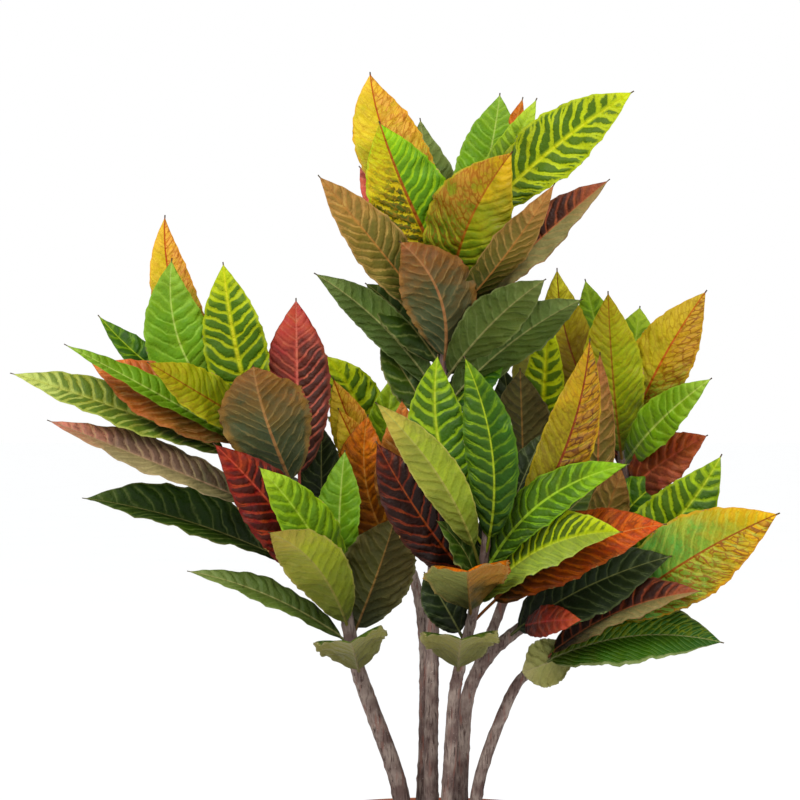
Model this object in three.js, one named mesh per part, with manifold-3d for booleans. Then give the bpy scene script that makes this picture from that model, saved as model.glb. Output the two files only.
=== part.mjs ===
// A potted croton: seven leafy stems, two of them at the back, in a plain round pot of soil.
// Millimetres, +Z up. The origin is the middle of the pot's flat base. The front is -Y.
import * as THREE from 'three';
import { mergeVertices } from 'three/addons/utils/BufferGeometryUtils.js';
import Module from 'manifold-3d';

// Driving dimensions
const POT_HEIGHT = 200;
const POT_TOP_RADIUS = 130;
const POT_BASE_RADIUS = 94;
const POT_WALL = 7;
const POT_RIM_HEIGHT = 30;
const POT_RIM_OUT = 6;
const SOIL_LEVEL = 182;
const SOIL_CROWN = 5;
const FIT_GAP = 0.3;
const STEM_DEPTH_IN_SOIL = 70;
const POT_EDGE = 3;
const ROUND_SIDES = 36;
const STEM_SIDES = 6;
const STEM_STEPS = 10;

// A leaf's blade and stalk. Shares are of the blade's length or of its half width.
const BLADE_THICKNESS = 0.8;
const BLADE_USUAL_LENGTH = 180;
const BLADE_STEPS = 6;
const WIDEST_SHIFT = 0.96;
const BASE_ROUNDNESS = 0.55;
const TIP_SHARPENING = 0.4;
const DRIP_TIP = 0.985;
const TIP_HALF_WIDTH = 0.7;
const STALK_LENGTH = 14;
const STALK_THICKNESS = 2.6;
const STALK_HALF_WIDTH = 1.7;
const STALK_THINS_BY = 1 / 8;
const WAVES = 2.6;
const WAVE_SHARE = 0.07;
const RIGHT_WAVE_LAG = 0.37;
const CUP = 0.08;
const GOLDEN = 0.618034;

// Sides of a blade's rings that make its upper face
const UPPER_SIDES = [3, 4];
const HALVINGS = 30;
const WELD = 0.001;

// Places are laid out on an upright sheet through the pot's axis, as an eye in front of the
// plant sees them: mm across from the sheet's left edge, mm down from its top, mm behind it.
const SHEET_LEFT = -435;
const SHEET_TOP = 1015;
const EYE = new THREE.Vector3(-35, -3000, 615);

// Each leafy stem: its points from the soil up, as across, down and depth, its radius at the
// soil and at the top, and its leaves. Each leaf has the height where it leaves the stem, as
// mm down the sheet; its tip across, down and depth; the blade's width; its turn about the
// midrib and its fold, in degrees; and how far the midrib arches and sways.
const STEMS = {
  stem_left: {
    path: [[406, 832, 6], [396, 775, 2], [366, 693, -4], [354, 655, -8], [345, 610, -8],
      [328, 555, -4], [300, 500, 2], [268, 450, 8], [246, 410, 12]],
    radii: [9, 4],
    leaves: [
      [412, 165, 215, 50, 47, 10, 14, 12, -26],
      [432, 172, 258, 8, 72, 5, 14, 8, -32],
      [440, 223, 262, 0, 66, -5, 16, 12, -4],
      [425, 98, 315, 40, 40, 30, 25, 8, -18],
      [462, 64, 344, -62, 34, 50, 20, 4, -2],
      [446, 87, 358, -18, 72, 35, 18, 6, -9],
      [484, 10, 373, -20, 60, 45, 20, 10, 0],
      [530, 47, 420, -35, 56, 50, 22, 8, -7],
      [428, 147, 362, -84, 52, 30, 15, 8, -4],
      [492, 253, 365, -115, 92, 178, 12, 14, 6],
      [500, 296, 298, 35, 70, 0, 16, 12, 0],
      [590, 82, 498, 10, 74, 42, 38, 10, 10],
      [645, 187, 571, -20, 40, 52, 20, 8, 7],
      [628, 213, 443, -45, 68, 10, 14, 12, 10],
      [612, 258, 466, -70, 60, 30, 12, 12, 6],
      [634, 268, 532, -135, 60, 172, 12, 14, -13],
      [640, 396, 515, -45, 76, -170, 12, 10, -4],
      [676, 350, 643, -130, 76, 182, 18, 12, 0],
      [545, 322, 425, 62, 46, -15, 14, 4, 0],
      [590, 345, 450, 12, 48, -20, 14, 8, 0],
      [430, 214, 318, 140, 60, 35, 12, 26, 0],
      [445, 166, 372, 120, 54, 70, 14, 24, 0],
      [455, 286, 352, 140, 62, -25, 12, 28, 0],
      [470, 205, 428, 130, 58, 60, 14, 22, 0],
      [480, 268, 398, 165, 60, 10, 12, 30, 0],
      [560, 262, 478, 130, 62, 45, 12, 24, 0],
      [570, 282, 484, 150, 56, 35, 12, 20, 0],
      [610, 290, 530, 95, 58, 50, 14, 16, 0],
    ],
  },
  stem_centre: {
    path: [[432, 832, 0], [431, 760, 0], [432, 690, 4], [433, 600, 12], [436, 500, 18],
      [441, 400, 22], [448, 320, 20], [458, 265, 14], [466, 225, 10]],
    radii: [7.5, 4],
    leaves: [
      [246, 370, 72, 45, 72, 10, 10, 14, -22],
      [285, 379, 121, -10, 84, 5, 12, 12, -7],
      [255, 500, 93, 75, 64, -10, 14, 4, 6],
      [255, 537, 98, 35, 42, -15, 14, 4, 2],
      [262, 523, 97, 62, 48, -30, 14, -4, 4],
      [236, 634, 91, -35, 70, -20, 14, 4, -8],
      [298, 513, 151, -60, 88, -12, 14, 14, -10],
      [320, 555, 183, -88, 44, -150, 12, -14, 2],
      [332, 610, 179, -50, 62, -38, 22, 10, 3],
      [335, 318, 175, -40, 58, 20, 16, 14, -4],
      [275, 359, 166, 40, 58, 15, 16, 10, -6],
      [368, 399, 241, -80, 76, 178, 12, 4, -20],
      [400, 314, 273, -30, 44, 165, 22, 10, -9],
      [372, 365, 283, 10, 50, 20, 14, 8, 4],
      [384, 546, 279, -70, 56, -160, 14, 10, 4],
      [412, 583, 299, -50, 66, -150, 20, 20, 0],
      [262, 420, 118, 120, 62, -160, 12, 14, 0],
      [285, 468, 170, 150, 60, -20, 12, 26, 0],
      [290, 388, 186, 185, 62, 40, 12, 26, 0],
      [305, 524, 176, 135, 60, -50, 12, 24, 0],
      [325, 440, 200, 175, 62, 10, 12, 32, 0],
      [352, 380, 272, 135, 58, 50, 14, 22, 0],
      [360, 505, 252, 150, 60, -30, 14, 26, 0],
      [385, 450, 290, 180, 62, -15, 14, 30, 0],
      [436, 380, 338, 45, 50, 25, 14, 6, 0],
      [426, 506, 352, 38, 46, -30, 14, 6, 0],
    ],
  },
  stem_front: {
    path: [[446, 832, -22], [450, 760, -28], [454, 700, -34], [459, 670, -40],
      [469, 630, -50], [478, 590, -60], [486, 540, -72], [488, 490, -80]],
    radii: [7, 4],
    leaves: [
      [545, 438, 354, -60, 64, 0, 12, 14, -20],
      [560, 464, 356, -95, 54, -12, 16, 14, 22],
      [570, 375, 402, -165, 44, 172, 12, -8, -16],
      [585, 376, 441, -70, 62, 10, 14, 12, -8],
      [575, 590, 338, -70, 54, -5, 14, 12, 24],
      [590, 630, 464, -120, 48, -30, 12, 12, -24],
      [610, 623, 532, -130, 70, -42, 24, 12, -20],
      [622, 667, 524, -100, 72, -32, 18, 10, -18],
      [616, 468, 572, -175, 88, 180, 16, 16, 0],
      [672, 462, 640, -150, 80, 182, 16, 12, 0],
      [600, 436, 520, -90, 58, 60, 12, 14, 0],
      [585, 545, 430, 0, 56, -20, 14, 4, 0],
      [600, 596, 486, 0, 56, -30, 14, 4, 0],
      [640, 424, 572, -50, 44, 10, 14, 8, 0],
    ],
  },
  stem_right: {
    path: [[460, 832, 4], [462, 760, 2], [468, 695, -4], [488, 657, -8], [515, 632, -6],
      [560, 600, 8], [600, 550, 26], [620, 500, 40], [622, 455, 52], [616, 415, 60]],
    radii: [7.5, 4],
    leaves: [
      [450, 557, 268, 110, 54, 5, 14, 10, -17],
      [440, 585, 279, 120, 48, 0, 14, 10, 0],
      [440, 640, 306, 100, 60, 0, 14, 10, 0],
      [465, 608, 291, 5, 64, -5, 12, 12, -2],
      [455, 707, 290, 20, 66, -12, 14, 12, -6],
      [470, 712, 378, -70, 46, -30, 14, 12, -2],
      [500, 708, 435, -20, 56, -30, 14, 10, 0],
      [585, 722, 454, -40, 70, -10, 14, 12, 21],
      [560, 600, 352, -25, 34, 170, 12, 8, 0],
      [575, 622, 468, -20, 44, 170, 12, 8, 0],
      [628, 582, 620, -92, 34, -30, 14, 8, 0],
      [640, 672, 556, -60, 72, -30, 12, 12, -6],
      [448, 668, 345, 170, 58, -45, 14, 26, 0],
      [470, 590, 360, 205, 60, 25, 12, 28, 0],
      [475, 664, 404, 185, 60, -35, 14, 24, 0],
      [490, 612, 400, 210, 60, 12, 12, 32, 0],
      [510, 672, 470, 160, 60, -60, 14, 22, 0],
      [540, 640, 500, 180, 60, -45, 12, 26, 0],
      [570, 668, 545, 170, 58, -85, 14, 22, 0],
      [600, 600, 560, 165, 60, -50, 14, 26, 0],
      [545, 664, 478, 10, 56, -30, 14, 12, 0],
    ],
  },
  stem_low: {
    path: [[472, 832, -14], [482, 770, -18], [512, 693, -20], [530, 672, -20],
      [556, 654, -16], [590, 640, -10]],
    radii: [6.5, 3.5],
    leaves: [
      [641, 780, 513, -85, 86, -18, 12, 12, -9],
      [660, 702, 591, -90, 60, -52, 26, 10, -10],
      [668, 724, 643, -60, 72, -36, 16, 12, -15],
      [648, 694, 603, -25, 50, -60, 20, 8, -6],
      [641, 521, 672, -44, 50, 176, 14, 6, 4],
      [644, 672, 560, 60, 58, 150, 14, 12, 0],
    ],
  },
  stem_back_left: {
    path: [[420, 832, 30], [424, 760, 32], [425, 690, 36], [424, 640, 40], [416, 585, 50],
      [400, 550, 60], [385, 510, 80], [372, 470, 100], [366, 440, 110]],
    radii: [6.5, 3.5],
    leaves: [
      [575, 368, 414, 30, 76, -10, 14, 8, -20],
      [540, 402, 399, -5, 56, 15, 12, 8, 0],
      [500, 392, 376, 80, 44, 0, 14, 10, 0],
      [470, 326, 355, 90, 56, 5, 14, 10, 10],
      [510, 333, 378, 60, 46, -5, 16, 8, 0],
      [470, 352, 372, 215, 58, -160, 12, 14, 0],
      [480, 396, 398, 240, 58, -30, 12, 28, 0],
      [490, 330, 424, 225, 58, 50, 14, 24, 0],
      [505, 424, 430, 235, 60, -35, 12, 28, 0],
      [520, 338, 408, 40, 44, 5, 14, 8, 0],
    ],
  },
  stem_back_right: {
    path: [[446, 832, 34], [452, 760, 46], [470, 690, 60], [500, 610, 78], [525, 540, 92],
      [538, 490, 100], [544, 440, 104]],
    radii: [6.5, 3.5],
    leaves: [
      [495, 549, 312, 15, 44, -5, 14, 8, 0],
      [545, 520, 368, 10, 70, 175, 12, 10, 0],
      [455, 520, 330, 215, 60, 160, 12, 14, 0],
      [490, 584, 400, 225, 60, -35, 12, 28, 0],
      [500, 498, 410, 250, 60, 30, 12, 30, 0],
      [505, 560, 440, 255, 60, -30, 12, 28, 0],
      [530, 488, 470, 250, 58, 40, 14, 26, 0],
      [520, 503, 366, 64, 58, -5, 14, 10, 0],
      [590, 484, 556, 205, 56, 45, 14, 22, 0],
    ],
  },
};

const UP = new THREE.Vector3(0, 0, 1);
const FRONT = new THREE.Vector3(0, -1, 0);

// A point behind the sheet lies on the line of sight through its place on the sheet
function place(across, down, depth) {
  const onSheet = new THREE.Vector3(SHEET_LEFT + across, 0, SHEET_TOP - down);
  return onSheet.clone().addScaledVector(onSheet.clone().sub(EYE), -depth / EYE.y);
}

// A closed skin over rings of points, all with the same number of points. The quads of the
// sides listed in mirrored are split the other way, so that both faces of a blade match.
function loft(rings, mirrored = []) {
  const count = rings[0].length;
  const points = rings.flat();
  const triangles = [];
  for (let ring = 0; ring < rings.length - 1; ring += 1) {
    for (let side = 0; side < count; side += 1) {
      const a = ring * count + side;
      const b = ring * count + ((side + 1) % count);
      if (mirrored.includes(side)) triangles.push([a, b, a + count], [b, b + count, a + count]);
      else triangles.push([a, b, b + count], [a, b + count, a + count]);
    }
  }
  const last = (rings.length - 1) * count;
  for (let step = 1; step < count - 1; step += 1) {
    const near = (step + 1) % count;
    const far = (step + 2) % count;
    triangles.push([1, far, near], [last + 1, last + near, last + far]);
  }
  return { points, triangles };
}

function stemCurve(path) {
  const points = path.map(([across, down, depth]) => place(across, down, depth));
  return new THREE.CatmullRomCurve3(points, false, 'catmullrom', 0.5);
}

// The rings of a stem, or of the hole that it stands in when a gap is given
function stemRings(curve, [bottomRadius, topRadius], gap) {
  const start = curve.getPoint(0);
  const buried = start.clone().addScaledVector(UP, -STEM_DEPTH_IN_SOIL - gap);
  const rings = [];
  for (let step = -1; step <= STEM_STEPS; step += 1) {
    const share = Math.max(step, 0) / STEM_STEPS;
    const middle = step < 0 ? buried : curve.getPoint(share);
    const along = step <= 0 ? UP : curve.getTangent(share);
    const side = new THREE.Vector3().crossVectors(FRONT, along).normalize();
    const front = new THREE.Vector3().crossVectors(along, side);
    const radius = THREE.MathUtils.lerp(bottomRadius, topRadius, share) + gap;
    const ring = [];
    for (let corner = 0; corner < STEM_SIDES; corner += 1) {
      const angle = (corner / STEM_SIDES) * 2 * Math.PI;
      ring.push(middle.clone()
        .addScaledVector(side, radius * Math.cos(angle))
        .addScaledVector(front, radius * Math.sin(angle)));
    }
    rings.push(ring);
  }
  return rings;
}

// The point of the curve at a height
function atHeight(curve, height) {
  let low = 0;
  let high = 1;
  for (let halving = 0; halving < HALVINGS; halving += 1) {
    const middle = (low + high) / 2;
    if (curve.getPoint(middle).z < height) low = middle;
    else high = middle;
  }
  return curve.getPoint(low);
}

// Half the blade's width, as a share of its widest, where along goes from 0 to 1
function outline(along) {
  const inner = Math.min(along / DRIP_TIP, 1);
  return Math.sin(Math.PI * inner ** WIDEST_SHIFT) ** (BASE_ROUNDNESS + TIP_SHARPENING * inner);
}

// A parabola that is 0 at both ends of the leaf and 1 in the middle
function bow(share) {
  return 4 * share * (1 - share);
}

// The rings of one leaf, from the middle of the stem to the tip. Each has three points under
// the leaf and three over it: at its right edge, its midrib and its left edge.
function leafRings(curve, leaf, index) {
  const [from, across, down, depth, width, turn, fold, arch, sway] = leaf;
  const root = atHeight(curve, SHEET_TOP - from);
  const tip = place(across, down, depth);
  const chord = tip.clone().sub(root);
  const length = chord.length();
  const along = chord.clone().normalize();
  const facing = FRONT.clone().addScaledVector(along, -along.dot(FRONT)).normalize();
  const aside = new THREE.Vector3().crossVectors(along, facing);
  const turned = THREE.MathUtils.degToRad(turn);
  const upper = facing.clone().multiplyScalar(Math.cos(turned))
    .addScaledVector(aside, Math.sin(turned));
  const side = new THREE.Vector3().crossVectors(along, upper);
  const stalk = (STALK_LENGTH + Math.max(0, length - BLADE_USUAL_LENGTH) / 2) / length;
  const phase = (index * GOLDEN) % 1;
  const foldAngle = THREE.MathUtils.degToRad(fold);

  const midrib = (share) => root.clone()
    .addScaledVector(chord, share)
    .addScaledVector(upper, arch * bow(share))
    .addScaledVector(side, sway * bow(share));

  const rings = [];
  for (let step = -1; step <= BLADE_STEPS; step += 1) {
    const blade = Math.max(step, 0) / BLADE_STEPS;
    const share = step < 0 ? 0 : stalk + (1 - stalk) * blade;
    const forward = midrib(share + 0.01).sub(midrib(share - 0.01)).normalize();
    const lift = upper.clone().addScaledVector(forward, -upper.dot(forward)).normalize();
    const out = new THREE.Vector3().crossVectors(forward, lift);
    const spread = step < 0 ? 0 : outline(blade) * width / 2;
    const least = THREE.MathUtils.lerp(STALK_HALF_WIDTH, TIP_HALF_WIDTH, blade);
    const half = Math.max(spread, least);
    const thick = Math.max(BLADE_THICKNESS, STALK_THICKNESS * (1 - blade / STALK_THINS_BY));
    // edge is 1 at the right edge, 0 at the midrib and -1 at the left edge
    const point = (edge, face) => {
      const turnOfWave = 2 * Math.PI * (WAVES * blade + phase + (edge > 0 ? RIGHT_WAVE_LAG : 0));
      const wave = WAVE_SHARE * spread * Math.sin(turnOfWave);
      const rise = Math.abs(edge) * (half * (Math.sin(foldAngle) - CUP) + wave);
      return midrib(share)
        .addScaledVector(out, half * edge * Math.cos(foldAngle))
        .addScaledVector(lift, (spread > least ? rise : 0) + face * thick / 2);
    };
    rings.push([
      point(1, -1), point(0, -1), point(-1, -1),
      point(-1, 1), point(0, 1), point(1, 1),
    ]);
  }
  return rings;
}

// Solids, joined and cut
const wasm = await Module();
wasm.setup();

function solidOf({ points, triangles }) {
  const vertProperties = new Float32Array(points.flatMap((point) => point.toArray()));
  const triVerts = new Uint32Array(triangles.flat());
  return new wasm.Manifold(new wasm.Mesh({ numProp: 3, vertProperties, triVerts }));
}

// A solid of revolution about Z, from pairs of radius and height, from the bottom up
function turnedSolid(section) {
  const profile = section.map(([radius, height]) => new THREE.Vector2(radius, height));
  const lathe = new THREE.LatheGeometry(profile, ROUND_SIDES).rotateX(Math.PI / 2);
  lathe.deleteAttribute('normal');
  lathe.deleteAttribute('uv');
  const merged = mergeVertices(lathe, WELD);
  const vertProperties = new Float32Array(merged.getAttribute('position').array);
  const triVerts = new Uint32Array(merged.index.array);
  return new wasm.Manifold(new wasm.Mesh({ numProp: 3, vertProperties, triVerts }));
}

function meshOf(name, solid, material) {
  const { vertProperties, triVerts } = solid.getMesh();
  const geometry = new THREE.BufferGeometry();
  geometry.setAttribute('position', new THREE.BufferAttribute(vertProperties, 3));
  geometry.setIndex(new THREE.BufferAttribute(triVerts, 1));
  geometry.computeVertexNormals();
  const mesh = new THREE.Mesh(geometry, material);
  mesh.name = name;
  return mesh;
}

// The wall's outer radius at a height, without the rim
function potRadius(height) {
  return THREE.MathUtils.lerp(POT_BASE_RADIUS, POT_TOP_RADIUS, height / POT_HEIGHT);
}

function potSolid() {
  const rimFoot = POT_HEIGHT - POT_RIM_HEIGHT;
  const rimRadius = POT_TOP_RADIUS + POT_RIM_OUT;
  return turnedSolid([
    [0, 0],
    [POT_BASE_RADIUS - POT_EDGE, 0],
    [POT_BASE_RADIUS, POT_EDGE],
    [potRadius(rimFoot), rimFoot],
    [rimRadius - POT_EDGE, rimFoot + POT_EDGE],
    [rimRadius, POT_HEIGHT - POT_EDGE],
    [rimRadius - POT_EDGE, POT_HEIGHT],
    [POT_TOP_RADIUS - POT_WALL, POT_HEIGHT],
    [potRadius(POT_WALL) - POT_WALL, POT_WALL],
    [0, POT_WALL],
  ]);
}

// The soil fills the pot and rises a little to the middle
function soilSolid() {
  const bottom = POT_WALL + FIT_GAP;
  const soilRadius = (height) => potRadius(height) - POT_WALL - FIT_GAP;
  return turnedSolid([
    [0, bottom],
    [soilRadius(bottom), bottom],
    [soilRadius(SOIL_LEVEL), SOIL_LEVEL],
    [0, SOIL_LEVEL + SOIL_CROWN],
  ]);
}

function stemSolid(stem, gap) {
  return solidOf(loft(stemRings(stemCurve(stem.path), stem.radii, gap)));
}

function leafySolid(stem) {
  const curve = stemCurve(stem.path);
  return stem.leaves.reduce(
    (joined, leaf, index) => joined.add(solidOf(loft(leafRings(curve, leaf, index), UPPER_SIDES))),
    stemSolid(stem, 0),
  );
}

const POT_CLAY = new THREE.MeshStandardMaterial({ color: 0xb26a4c, roughness: 0.85, metalness: 0 });
const SOIL = new THREE.MeshStandardMaterial({ color: 0x3a2a20, roughness: 1, metalness: 0 });
const FOLIAGE = new THREE.MeshStandardMaterial({ color: 0x6d8a2e, roughness: 0.45, metalness: 0 });

const croton = new THREE.Group();
croton.add(meshOf('pot', potSolid(), POT_CLAY));
const soil = Object.values(STEMS).reduce(
  (left, stem) => left.subtract(stemSolid(stem, FIT_GAP)),
  soilSolid(),
);
croton.add(meshOf('soil', soil, SOIL));
for (const [name, stem] of Object.entries(STEMS)) {
  croton.add(meshOf(name, leafySolid(stem), FOLIAGE));
}

export default croton;
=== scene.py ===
"""A potted croton: seven leafy stems in a plain round pot of soil, dressed for rendering.

Each leaf is a piece of its own, laid out from the same table and formulas as the part's solids.
Lengths in the tables are millimetres and angles are degrees. The front is -Y.
"""
import functools
import math
from dataclasses import dataclass

import bpy
import numpy as np
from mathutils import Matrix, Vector


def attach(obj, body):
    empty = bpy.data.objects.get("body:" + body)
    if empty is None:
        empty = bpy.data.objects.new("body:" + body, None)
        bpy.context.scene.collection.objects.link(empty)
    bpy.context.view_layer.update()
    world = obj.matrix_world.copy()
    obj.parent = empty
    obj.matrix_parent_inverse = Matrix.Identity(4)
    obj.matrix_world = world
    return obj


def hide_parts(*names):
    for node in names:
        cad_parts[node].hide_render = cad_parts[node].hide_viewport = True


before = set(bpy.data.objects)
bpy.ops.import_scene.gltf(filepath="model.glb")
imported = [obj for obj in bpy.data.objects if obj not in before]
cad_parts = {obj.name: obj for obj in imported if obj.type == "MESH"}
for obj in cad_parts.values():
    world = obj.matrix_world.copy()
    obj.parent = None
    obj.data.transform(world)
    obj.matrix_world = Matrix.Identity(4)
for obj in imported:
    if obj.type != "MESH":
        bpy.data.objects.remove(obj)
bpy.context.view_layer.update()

MM = 0.001

# The layout sheet, as in the part: mm across from its left edge, mm down from its top, and mm
# behind it, as an eye in front of the plant sees them
SHEET_LEFT = -435.0
SHEET_TOP = 1015.0
EYE = np.array((-35.0, -3000.0, 615.0))
FRONT = np.array((0.0, -1.0, 0.0))
UP = np.array((0.0, 0.0, 1.0))
GOLDEN = 0.618034
STEM_CHANCE = 0.37
HALVINGS = 30
# How far ahead and behind, as a share of a leaf, its direction is measured
AHEAD = 0.01

# The pot and the soil, as in the part
POT_HEIGHT = 200.0
POT_TOP_RADIUS = 130.0
POT_BASE_RADIUS = 94.0
POT_WALL = 7.0
POT_RIM_HEIGHT = 30.0
POT_RIM_OUT = 6.0
SOIL_LEVEL = 182.0
SOIL_CROWN = 5.0
SOIL_GAP = 0.3

# A leaf, as in the part
STALK_LENGTH = 14.0
BLADE_USUAL_LENGTH = 180.0
STALK_HALF_WIDTH = 1.7
TIP_HALF_WIDTH = 0.7
DRIP_TIP = 0.985
# The outline is a sine of the place along the blade, to a power that grows from base to tip
OUTLINE_SHIFT = 0.96
OUTLINE_POWER = 0.55
OUTLINE_TAPER = 0.4
WAVES = 2.6
WAVE_SHARE = 0.07
# How far the waves of the right edge lag behind those of the left one
EDGE_LAG = 0.37
CUP = 0.08
# The fold and the waves set in as the blade gets this many mm wider than its stalk
FOLD_ONSET = 4

# What the dressed leaf adds
BLADE_THICKNESS = 0.5
STALK_THICKNESS = 2.6
STALK_THINNING = 8
# The midrib stands out below, and by a share of that above
RIDGE_HEIGHT = 0.9
RIDGE_WIDTH = 1.3
RIDGE_ABOVE = 0.3
RIPPLES = 7.3
RIPPLE_PHASE = 3.1
RIPPLE_SHARE = 0.055
NOTCHES = (11.3, 17.9)
NOTCH_SHARE = 0.017
BELLY = 0.3
STALK_STATIONS = 5
BLADE_STATIONS = 48
# Places across the blade, from its left edge to its right edge, as shares of half its width
COLUMNS = (-1.0, -0.93, -0.8, -0.6, -0.4, -0.2, -0.09, -0.035, 0.0,
           0.035, 0.09, 0.2, 0.4, 0.6, 0.8, 0.93, 1.0)

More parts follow.
